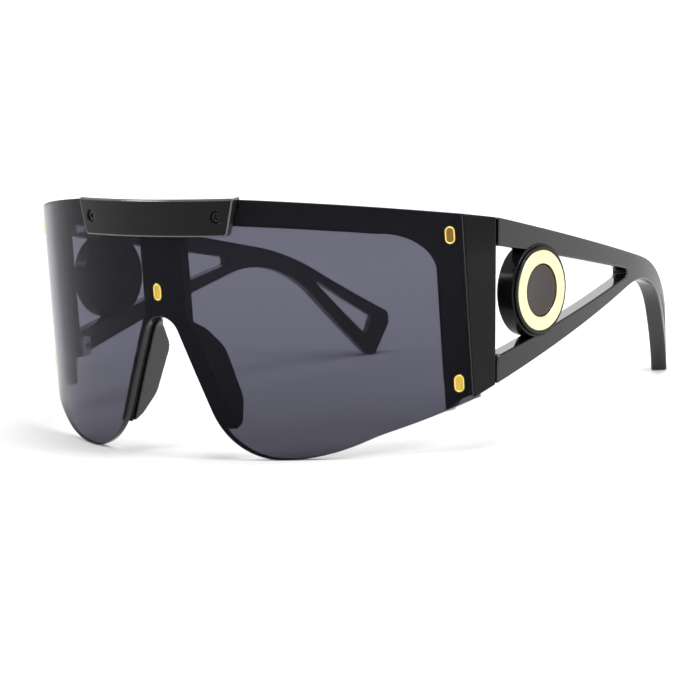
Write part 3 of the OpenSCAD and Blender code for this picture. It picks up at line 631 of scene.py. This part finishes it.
def on_wall(s, z, depth):
    """Behind the lens. Beside the window the wall stays ahead of the joint line, inside the end
    pieces, and its foot rises with theirs."""
    p = on_lens(s, z, depth + LENS_T + TOUCH_GAP)
    end = clamp((abs(p.x) - WINDOW_X) / WALL_END_BAND)
    p.y = min(p.y, joint_at(z) - WALL_JOINT_IN + WALL_FREE * (1 - end))
    low = clamp((WALL_FOOT_Z - z) / WALL_FOOT_H) * end
    p.z += (edge_z(p.y) - edge_z(depth_at(LENS_R, p.x)) + WALL_FOOT_LIFT) * low
    return p


def inner_at(y):
    """A point of the end piece's inner face, beside the hinge."""
    return INNER + FLARE * (y - INNER.y) / FLARE.y


def lens_back(*degrees):
    """Points of the lens's rear face, so many degrees before its end."""
    return [Vector((INNER_R * math.sin(t), LENS_R - INNER_R * math.cos(t)))
            for t in (END_A - math.radians(k) for k in degrees)]


def prism_z(high, foot, d):
    """The height at depth d of an upright prism that reaches from high down to foot."""
    share = clamp((d - PRISM_RIM) / (PRISM_H - 2 * PRISM_RIM))
    top, low = high - d, foot + PRISM_H - d
    return top + (low - top) * share


def end_piece(shape):
    """The solid end of the front, from the lens's end line to the joint, which leans back."""
    joint = joint_at(END_MID_Z)
    corner = Vector((END_X, END_Y))
    outer = corner + FLARE * (joint - END_Y) / FLARE.y
    loop = rounded([corner, outer, inner_at(joint), inner_at(END_Y)] + lens_back(1.5, 0),
                   [0.35, 0.5, 0.3, 0, 0, 0], 15)

    def place(x, y, d):
        t = max(0.0, (y - END_Y) / (joint - END_Y))
        shift = Vector((0, 0))
        for _ in range(3):
            z = prism_z(top_z(y + shift.y), edge_z(y + shift.y), d)
            shift = FLARE * t * (joint_at(z) - joint) / FLARE.y
        return Vector((x + shift.x, y + shift.y, z))

    plate(shape, [spread(loop, SMALL_STEP)], place, PRISM_H, END_BEVEL, PRISM_GRID,
          levels=even(PRISM_RIM, PRISM_H - PRISM_RIM, 8))


def deep_bar(shape):
    """The upright bar behind the lens's side, inward of the end piece."""
    side = Vector((WINDOW_X, depth_at(INNER_R, WINDOW_X)))
    rear = Vector((SIDE_REAR_X, JOINT_Y - SIDE_REAR_IN))
    hollow = inner_at(JOINT_Y - SIDE_HOLLOW_IN)
    loop = rounded([rear, side] + lens_back(4, 2, 0.2) + [hollow], [0.6, 0.3, 0, 0, 0, 0.3], 15)

    def place(x, y, d):
        return Vector((x, y, prism_z(top_z(y) - TOUCH_GAP, SIDE_FOOT_Z, d)))

    plate(shape, [spread(loop, SMALL_STEP)], place, PRISM_H, DEEP_BEVEL, PRISM_GRID,
          levels=[PRISM_RIM, PRISM_H - PRISM_RIM])


def front_piece():
    s = Shape()
    plate(s, [spread(wall_loop(), LARGE_STEP)], on_wall, BAR_T, WALL_BEVEL, WALL_GRID)
    for side in SIDES:
        half = Shape()
        end_piece(half)
        deep_bar(half)
        s.join(half.sided(side))
    return s.piece("front_shell", [GLOSS_BLACK])


def wings_piece():
    """The nose wings, cut out of the frame's solid."""
    top, wide = WINGS_TOP * MM, WINGS_X * MM
    return cut_out("front_frame", "nose_wings", GLOSS_BLACK, WINGS_VOXEL, WINGS_EASE,
                   [((0, 0, top), (0, 0, 1)), ((wide, 0, 0), (1, 0, 0)),
                    ((-wide, 0, 0), (-1, 0, 0))])


# The brow bar
def ring_loop(x, z, r):
    return arc((x, z), r, 0, 348, 12)


def on_brow(s, z, depth):
    a = s / LENS_R
    r = LENS_R + BROW_OUT - depth
    return Vector((r * math.sin(a), LENS_R - r * math.cos(a), z))


def below_brow(inset):
    """The brow's surface, sunk by so much."""
    return lambda s, z, depth: on_brow(s, z, depth + inset)


def brow_piece():
    """The bar before the lens, and the lip that reaches back over the lens's top."""
    wide, narrow = BROW_W / 2, BROW_LOW_W / 2
    low, top, lip_low = BROW_TOP - BROW_H, BROW_TOP - BROW_TOP_IN, BROW_TOP - LIP_H
    outline = rounded([(-narrow, low), (narrow, low), (wide, top), (-wide, top)],
                      [1.1, 1.1, 0.35, 0.35], 10)
    holes = [ring_loop(k * SCREW_S, SCREW_Z, HEAD_HOLE_R) for k in (-1, 1)]
    s = Shape()
    plate(s, [spread(outline, SMALL_STEP)] + holes, on_brow, BROW_OUT - TOUCH_GAP, BROW_BEVEL,
          BROW_GRID, rear_bevel=BROW_REAR_BEVEL, edge_slot=1, outer_only=True)
    lip = rounded([(-wide + LIP_LOW_END, lip_low), (wide - LIP_LOW_END, lip_low),
                   (wide - LIP_TOP_END, BROW_TOP), (-wide + LIP_TOP_END, BROW_TOP)], [0.3] * 4, 15)
    plate(s, [spread(lip, SMALL_STEP)], below_brow(LIP_IN), BROW_OUT + LENS_T - LIP_IN, LIP_BEVEL,
          LIP_GRID, slot=1, rear_bevel=LIP_REAR_BEVEL)
    return s.piece("brow_shell", [BROW_BLACK, BROW_GLOSS])


def brow_screws_piece():
    """Two small dark screws with a cross recess each."""
    s = Shape()
    arm = ((CROSS_W, -CROSS_W), (CROSS_L, -CROSS_W), (CROSS_L, CROSS_W), (CROSS_W, CROSS_W))
    turns = [Matrix.Rotation(math.radians(90 * t + CROSS_TURN), 2) for t in range(4)]
    for k in (-1, 1):
        spot = Vector((k * SCREW_S, SCREW_Z))
        cross = [spot + turn @ Vector(q) for turn in turns for q in arm]
        plate(s, [ring_loop(*spot, HEAD_R), cross], below_brow(HEAD_IN), HEAD_T, HEAD_BEVEL,
              HEAD_GRID)
        plate(s, [ring_loop(*spot, HEAD_FLOOR_R)], below_brow(HEAD_FLOOR_IN), HEAD_FLOOR_T,
              HEAD_FLOOR_BEVEL, HEAD_GRID)
    return s.piece("brow_screw_heads", [RIM_BLACK])


# The temples
# The outer face turns gently from SPLAY to BEND_HEADING, at (BEND_X, BEND_Y), and then faster
BEND_HEADING = SPLAY - SWEEP_L / SWEEP_R
BEND_Y = SWEEP_R * (math.sin(SPLAY) - math.sin(BEND_HEADING))
BEND_X = SWEEP_R * (math.cos(BEND_HEADING) - math.cos(SPLAY))


def temple_plan(s):
    """The outer face's x, y and heading, at an arc length from the joint."""
    if s < SWEEP_L:
        h = SPLAY - s / SWEEP_R
        x = SWEEP_R * (math.cos(h) - math.cos(SPLAY))
        y = SWEEP_R * (math.sin(SPLAY) - math.sin(h))
        return x, y, h
    h = BEND_HEADING - (s - SWEEP_L) / BEND_R
    x = BEND_R * (math.cos(h) - math.cos(BEND_HEADING))
    y = BEND_R * (math.sin(BEND_HEADING) - math.sin(h))
    return BEND_X + x, BEND_Y + y, h


def temple_s(y, z):
    """Arc length and height in the temple's frame of a point seen from the side."""
    y -= JOINT_Y
    if y < BEND_Y:
        s = (SPLAY - math.asin(math.sin(SPLAY) - y / SWEEP_R)) * SWEEP_R
    else:
        turned_to = math.asin(math.sin(BEND_HEADING) - (y - BEND_Y) / BEND_R)
        s = SWEEP_L + (BEND_HEADING - turned_to) * BEND_R
    x = temple_plan(s)[0]
    return Vector((s, (z + x * math.sin(LEAN)) / math.cos(LEAN)))


TEMPLE_FRAME = Matrix.Translation((JOINT_X, JOINT_Y, 0)) @ Matrix.Rotation(LEAN, 4, "Y")
DRUM_X, DRUM_Y, DRUM_H = temple_plan(DRUM_S)
DRUM_FRAME = (TEMPLE_FRAME @ Matrix.Translation((DRUM_X, DRUM_Y, DRUM_Z))
              @ Matrix.Rotation(-DRUM_H, 4, "Z") @ Matrix.Rotation(math.pi / 2, 4, "Y")
              @ Matrix.Translation((0, 0, DRUM_OUT)))


def on_temple(s, z, depth):
    x, y, h = temple_plan(s)
    return TEMPLE_FRAME @ Vector((x - math.cos(h) * depth, y + math.sin(h) * depth, z))


def upper_line(y):
    return HIGH_Z - math.tan(UPPER_FALL) * (y - joint_at(HIGH_Z))


def lower_line(y):
    return LOW_Z + math.tan(LOWER_RISE) * (y - joint_at(LOW_Z))


def temple_loops():
    """The temple seen from the side (y, z): its outline with the window, and the tip's slot."""
    rear = JOINT_Y + REACH
    tip_y = rear - TIP_IN
    upper_y, lower_y = JOINT_Y + UPPER_TURN_Y, JOINT_Y + LOWER_TURN_Y
    low_y, high_y = joint_at(LOW_Z) + JOINT_GAP, joint_at(HIGH_Z) + JOINT_GAP
    outline = rounded([
        (low_y, lower_line(low_y)), (high_y, upper_line(high_y)), (upper_y, upper_line(upper_y)),
        (rear, HEEL_Z + HEEL_H), (rear, HEEL_Z - HEEL_H), (tip_y, 0), (tip_y - TIP_W, 0),
        (lower_y, lower_line(lower_y)),
    ], [0.35, 0.35, UPPER_TURN_R, HEEL_R, HEEL_R, TIP_R, TIP_R, LOWER_TURN_R], 3)
    apex = Vector((JOINT_Y + APEX_Y, APEX_Z))

    def window_corner(z):
        """Where the window's side through this height of the joint line starts."""
        slope = (apex.y - z) / (apex.x - joint_at(z))
        return Vector((joint_at(z) + JOINT_GAP,
                       apex.y - slope * (apex.x - joint_at(z) - JOINT_GAP)))

    front_low, front_high = window_corner(LOW_Z + LOWER_BAR_H), window_corner(HIGH_Z - UPPER_BAR_H)
    apex_arc = rounded([front_low, apex, front_high], [0, APEX_R, 0], 12)[1:-1]
    # The window is open at the joint, so it is drawn as a notch of the outline's front side
    k = next(i for i in range(len(outline) - 1) if outline[i].x < JOINT_Y + JOINT_BAND
             and outline[i].y < front_low.y < outline[i + 1].y)
    loop = outline[:k + 1] + [front_low] + apex_arc + [front_high] + outline[k + 1:]
    slot = rounded([(rear + y, z) for y, z, r in TIP_SLOT], [r for y, z, r in TIP_SLOT], 12)
    return [loop, slot]


def temple_piece(side):
    loops = [[temple_s(p.x, p.y) for p in spread(loop, LARGE_STEP)] for loop in temple_loops()]
    s = Shape()
    plate(s, loops, on_temple, TEMPLE_T, TEMPLE_BEVEL, PANEL_GRID, edge_slot=2)
    seat_r, rear = BEZEL_R + SEAT_CLEAR, -TEMPLE_T - 2 * DRUM_OUT
    drum = Shape()
    lathe(drum, [
        [(seat_r, -SEAT_DEPTH), (seat_r, -SEAT_RIM)],
        inner_rim(seat_r, 0, SEAT_RIM) + outer_rim(DRUM_R, 0, OUTER_RIM)
        + rim_arc(DRUM_R - DRUM_REAR_RIM, rear + DRUM_REAR_RIM, DRUM_REAR_RIM, 0, -90)
        + [(CORE_R, rear)],
        [(CORE_R, -SEAT_DEPTH), (seat_r, -SEAT_DEPTH)],
    ], 1)
    s.join(drum.moved(DRUM_FRAME))
    name = "temple_shell_" + SIDES[side]
    return s.sided(side).piece(name, [SATIN_BLACK, GLOSS_BLACK, EDGE_GLOSS])


def turned(name, look, side, profile):
    """A round piece of the medallion, in the temple's drum."""
    s = Shape()
    lathe(s, profile)
    return s.moved(DRUM_FRAME).sided(side).piece(name + "_" + SIDES[side], [look])


def bezel_piece(side):
    r, floor = RING_R + RING_CLEAR, -SEAT_DEPTH + BEZEL_FLOOR
    return turned("bezel", RIM_BLACK, side, [
        [(r, floor)] + inner_rim(r, BEZEL_OUT, BEZEL_RIM)
        + outer_rim(BEZEL_R, BEZEL_OUT, OUTER_RIM) + [(BEZEL_R, -SEAT_DEPTH)],
        [(BEZEL_R, -SEAT_DEPTH), (CORE_R, -SEAT_DEPTH)],
        [(CORE_R, floor), (r, floor)],
    ])


def ring_piece(side):
    top, low, inner = BEZEL_OUT + RING_OUT, -SEAT_DEPTH + BEZEL_FLOOR, RING_R - RING_W
    return turned("ring", GOLD, side, [
        [(inner, low)] + inner_rim(inner, top, RING_RIM) + outer_rim(RING_R, top, OUTER_RIM)
        + [(RING_R, low)],
        [(RING_R, low), (inner, low)],
    ])


def cap_piece(side):
    """The medallion's plain centre, slightly dished with a rounded edge."""
    top, low = BEZEL_OUT + RING_OUT - CAP_IN, -SEAT_DEPTH + BEZEL_FLOOR
    r = RING_R - RING_W - CAP_CLEAR
    dish = [(r * CAP_FLAT * k / DISH_STEPS, top - CAP_CROWN * (1 - (k / DISH_STEPS) ** 2))
            for k in range(1, DISH_STEPS)]
    return turned("cap", CAP_METAL, side, [
        [(CORE_R, top - CAP_CROWN)] + dish + rim_arc(r - CAP_EDGE, top - CAP_EDGE, CAP_EDGE, 100, 0)
        + [(r, low)],
        [(r, low), (CORE_R, low)],
    ])


# The rivets
def slot_loop(r):
    """An upright slot, with ends of a radius round the centres of the rivets' ends."""
    half = (RIVET_H - RIVET_W) / 2
    return arc((0, half), r, 0, 180, 12) + arc((0, -half), r, 180, 360, 12)


def rivet(shape, at, z):
    """A black ring of painted shadow round it, a gold rim through lens and frame, and a shallow
    dished centre.
    """
    def place(s, h, depth):
        t = at / LENS_R + s / LENS_R
        r = LENS_R + RIVET_OUT - depth
        return Vector((r * math.sin(t), LENS_R - r * math.cos(t), z + h))

    def dished(s, h, depth):
        return place(s, h, depth + RIVET_DISH)

    def shadow_ring(s, h, depth):
        return place(s * SHADOW_RING_WIDER, h * SHADOW_RING_TALLER, depth + RIVET_OUT - SHADOW_RING_RISE)

    outline, core = slot_loop(RIVET_W / 2), slot_loop(RIVET_W / 2 - RIVET_RIM)
    through = LENS_T + RIVET_OUT
    # A black ring, a painted shadow of the gap round the rivet
    plate(shape, [outline], shadow_ring, SHADOW_RING_T, SHADOW_RING_BEVEL, RIVET_GRID, slot=2)
    plate(shape, [outline, core], place, through + RIM_REACH, RIM_BEVEL, RIVET_GRID)
    # The upper side rivets' centres take the darker copy of the core's gold, as painted shade
    plate(shape, [core], dished, through + CORE_REACH, CORE_BEVEL, RIVET_GRID,
          slot=3 if z == RIVET_HIGH else 1)


def rivets_piece():
    """All five rivets. The upper ones at the sides have middles darkened with painted shade."""
    s = Shape()
    for at, z in RIVETS:
        rivet(s, at, z)
    # Slot 2 is the black ring of painted shadow, and slot 3 the core darkened with painted shade
    return s.piece("rivet_eyelets", [RIVET_GOLD, RIVET_CORE, RIM_BLACK, RIVET_SHADED_CORE])


# All the pieces
BODY = {n: b for b, ns in frame["record"]["behaviour"]["bodies"].items() for n in ns}
# A node takes the look of the longest name here that its own name starts with
LOOKS = {
    "lens": SMOKE, "front_frame": GLOSS_BLACK, "brow_bar": BROW_BLACK, "brow_screws": RIM_BLACK,
    "lens_rivets": RIVET_GOLD, "nose_pad": PAD_BLACK, "temple": SATIN_BLACK,
    "medallion_bezel": RIM_BLACK, "medallion_ring": GOLD, "medallion_cap": CAP_METAL,
    "hinge_screws": DARK_STEEL, "leaf_screws": DARK_STEEL, "hinge": STEEL,
}
for name, node in frame["nodes"].items():
    look = LOOKS[max((k for k in LOOKS if name.startswith(k)), key=len)]
    node.data.materials.clear()
    node.data.materials.append(look)


def dress(piece, node):
    """Puts a piece in a CAD node's place, on the node's body."""
    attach(piece, BODY[node])
    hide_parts(node)


dress(lens_piece(), "lens")
dress(rivets_piece(), "lens_rivets")
dress(front_piece(), "front_frame")
dress(wings_piece(), "front_frame")
dress(brow_piece(), "brow_bar")
dress(brow_screws_piece(), "brow_screws")
for word in SIDES.values():
    pad = cut_out("nose_pad_" + word, "pad_" + word, PAD_BLACK, PAD_VOXEL, PAD_EASE)
    dress(pad, "nose_pad_" + word)
for side, word in SIDES.items():
    dress(temple_piece(side), "temple_" + word)
    dress(bezel_piece(side), "medallion_bezel_" + word)
    dress(ring_piece(side), "medallion_ring_" + word)
    dress(cap_piece(side), "medallion_cap_" + word)


# Camera and studio
CAMERA_AZ, CAMERA_EL, CAMERA_ROLL = (math.radians(t) for t in (39.0156, 8.6789, -3.9279))
CAMERA_AIM, CAMERA_AWAY = Vector((35.51, -45.25, 23.66)), 699.5777
FOCAL_PX, PHOTO_PX, SENSOR = 2810.92, 700, 36.0
WHITE = (1, 1, 1, 1)
WORLD_LIGHT, FLOOR_TONE = 0.55, 0.8
FLOOR_R, FLOOR_SIDES = 9.0, 96
GLOW_NEAR, GLOW_FAR, GLOW_LOW, GLOW_HIGH = 0.15, 1.2, 0.10, 0.62
# Each lamp's name, place and size in metres, and power in watts
LAMPS = (
    ("lamp_top", (0.10, 0.10, 1.00), 0.7, 9.0),
    ("lamp_left", (-0.90, -0.80, 0.70), 0.35, 6.0),
    ("lamp_right", (1.00, 0.10, 0.75), 0.30, 6.0),
    ("lamp_back", (-0.80, 1.00, 0.42), 0.60, 1.5),
)
LAMP_AIM = Vector((0, 0, 0.02))


def camera():
    az, el, roll = CAMERA_AZ, CAMERA_EL, CAMERA_ROLL
    back = Vector((math.sin(az) * math.cos(el), -math.cos(az) * math.cos(el), math.sin(el)))
    right = Vector((math.cos(az), math.sin(az), 0))
    up = Vector((-math.sin(az) * math.sin(el), math.cos(az) * math.sin(el), math.cos(el)))
    across = right * math.cos(roll) + up * math.sin(roll)
    above = -right * math.sin(roll) + up * math.cos(roll)
    data = bpy.data.cameras.new("camera")
    data.sensor_width = SENSOR
    data.lens = FOCAL_PX / PHOTO_PX * SENSOR
    data.clip_start, data.clip_end = 0.05, 60.0
    m = Matrix.Identity(4)
    for column, v in enumerate((across, above, back)):
        for row in range(3):
            m[row][column] = v[row]
    m.translation = (CAMERA_AIM + back * CAMERA_AWAY) * MM
    o = placed("camera", data)
    o.matrix_world = m
    bpy.context.scene.camera = o


def seen(nodes, links):
    """1 where a ray comes from the camera, a gloss or a see-through surface."""
    path = new_node(nodes, "LightPath")
    value = path.outputs["Is Camera Ray"]
    for name in ("Is Glossy Ray", "Is Transmission Ray"):
        both = new_node(nodes, "Math")
        both.operation = "MAXIMUM"
        links.new(value, both.inputs[0])
        links.new(path.outputs[name], both.inputs[1])
        value = both.outputs[0]
    return value


def world():
    """Soft light from all round, which is white where it is seen."""
    sky = bpy.data.worlds.new("world")
    bpy.context.scene.world = sky
    sky.use_nodes = True
    nodes, links = sky.node_tree.nodes, sky.node_tree.links
    light = nodes["Background"]
    light.inputs["Color"].default_value = WHITE
    light.inputs["Strength"].default_value = WORLD_LIGHT
    white = new_node(nodes, "Background", Color=WHITE, Strength=1.0)
    mix = new_node(nodes, "MixShader")
    links.new(seen(nodes, links), mix.inputs["Fac"])
    links.new(light.outputs[0], mix.inputs[1])
    links.new(white.outputs[0], mix.inputs[2])
    links.new(mix.outputs[0], nodes["World Output"].inputs["Surface"])


def floor_material():
    """A pale floor that takes the object's shadow and fades into the white background."""
    m = bpy.data.materials.new("floor")
    m.use_nodes = True
    nodes, links = m.node_tree.nodes, m.node_tree.links
    nodes.remove(nodes["Principled BSDF"])
    matt = new_node(nodes, "BsdfDiffuse", Color=(FLOOR_TONE, FLOOR_TONE, FLOOR_TONE, 1))
    glow = new_node(nodes, "Emission")
    where = new_node(nodes, "TexCoord")
    away = new_node(nodes, "VectorMath")
    away.operation = "LENGTH"
    links.new(where.outputs["Object"], away.inputs[0])
    fade = new_node(nodes, "MapRange", From_Min=GLOW_NEAR, From_Max=GLOW_FAR, To_Min=GLOW_LOW,
                    To_Max=GLOW_HIGH)
    fade.interpolation_type = "SMOOTHSTEP"
    links.new(away.outputs["Value"], fade.inputs["Value"])
    level = new_node(nodes, "Math")
    level.operation = "MULTIPLY"
    links.new(seen(nodes, links), level.inputs[0])
    links.new(fade.outputs["Result"], level.inputs[1])
    links.new(level.outputs[0], glow.inputs["Strength"])
    both = new_node(nodes, "AddShader")
    links.new(matt.outputs[0], both.inputs[0])
    links.new(glow.outputs[0], both.inputs[1])
    links.new(both.outputs[0], nodes["Material Output"].inputs["Surface"])
    return m


def floor():
    mesh = bpy.data.meshes.new("floor")
    turns = [2 * math.pi * k / FLOOR_SIDES for k in range(FLOOR_SIDES)]
    mesh.from_pydata([(FLOOR_R * math.cos(t), FLOOR_R * math.sin(t), 0) for t in turns], [],
                     [list(range(FLOOR_SIDES))])
    mesh.materials.append(floor_material())
    placed("floor", mesh)


def lamps():
    for name, spot, size, power in LAMPS:
        data = bpy.data.lights.new(name, "AREA")
        data.size = size
        data.energy = power
        o = placed(name, data)
        o.location = spot
        o.rotation_euler = (LAMP_AIM - Vector(spot)).to_track_quat("-Z", "Y").to_euler()


camera()
world()
floor()
lamps()
bpy.context.scene.view_settings.view_transform = "Standard"
